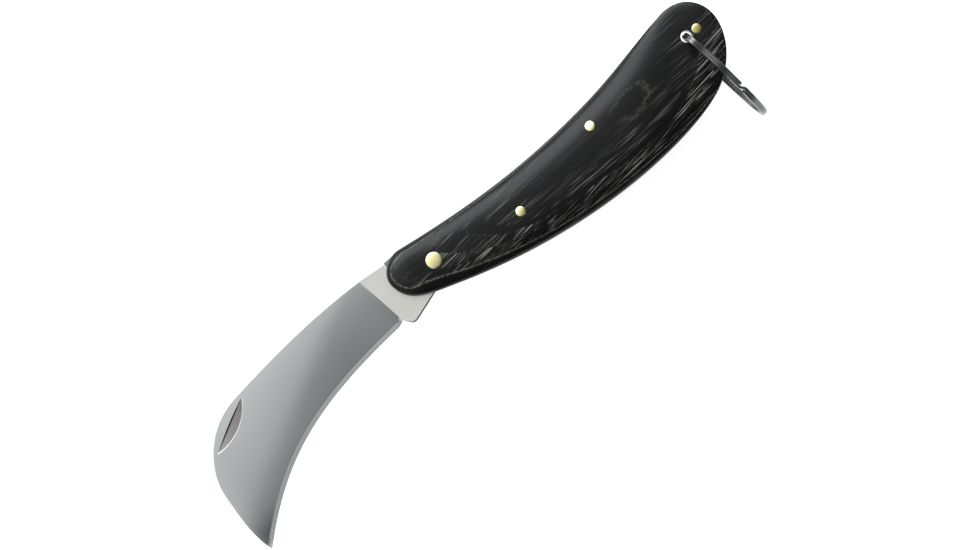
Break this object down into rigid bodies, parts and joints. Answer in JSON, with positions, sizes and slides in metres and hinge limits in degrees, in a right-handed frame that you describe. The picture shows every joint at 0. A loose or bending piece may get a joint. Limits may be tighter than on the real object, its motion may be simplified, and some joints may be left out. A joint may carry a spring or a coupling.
{
  "type": "folding hooked knife",
  "caption": "Slip-joint folding knife with a hooked blade, curved dark wood scales, brass pins and a split ring through the butt.",
  "frame": {"origin": "under the middle of the box of the open knife, at the lowest point of its standing ring", "axes": "+X from the blade towards the butt, +Y towards the knife's back (its spring), +Z out of the front scale"},
  "size_m": [0.1698, 0.0458, 0.0281],
  "materials": {
    "blade_steel": "satin ground steel, polished bevel",
    "spring_steel": "satin",
    "liner_steel": "satin",
    "laminated_wood": "black laminated wood, polished, fine grey grain",
    "pin_brass": "polished",
    "ring_steel": "bright drawn wire"
  },
  "bodies": {
    "handle": {"back_spring": "spring_steel", "front_liner": "liner_steel", "back_liner": "liner_steel", "front_scale": "laminated_wood", "back_scale": "laminated_wood", "pivot_pin": "pin_brass", "spring_middle_pin": "pin_brass", "spring_rear_pin": "pin_brass", "front_scale_rivet": "pin_brass", "back_scale_rivet": "pin_brass"},
    "folding_blade": {"blade": "blade_steel"},
    "swinging_ring": {"key_ring": "ring_steel"}
  },
  "joints": [
    {"name": "blade_fold", "type": "hinge", "parent": "handle", "child": "folding_blade", "pos_m": [-0.00595, 0.01084, 0.01405], "axis": [0, 0, 1], "range_deg": [0, 153], "deforming": ["back_spring"]},
    {"name": "ring_swing", "type": "hinge", "parent": "handle", "child": "swinging_ring", "pos_m": [0.07625, 0.00424, 0.01405], "axis": [0, 0, 1], "range_deg": [-18, 250]}
  ]
}
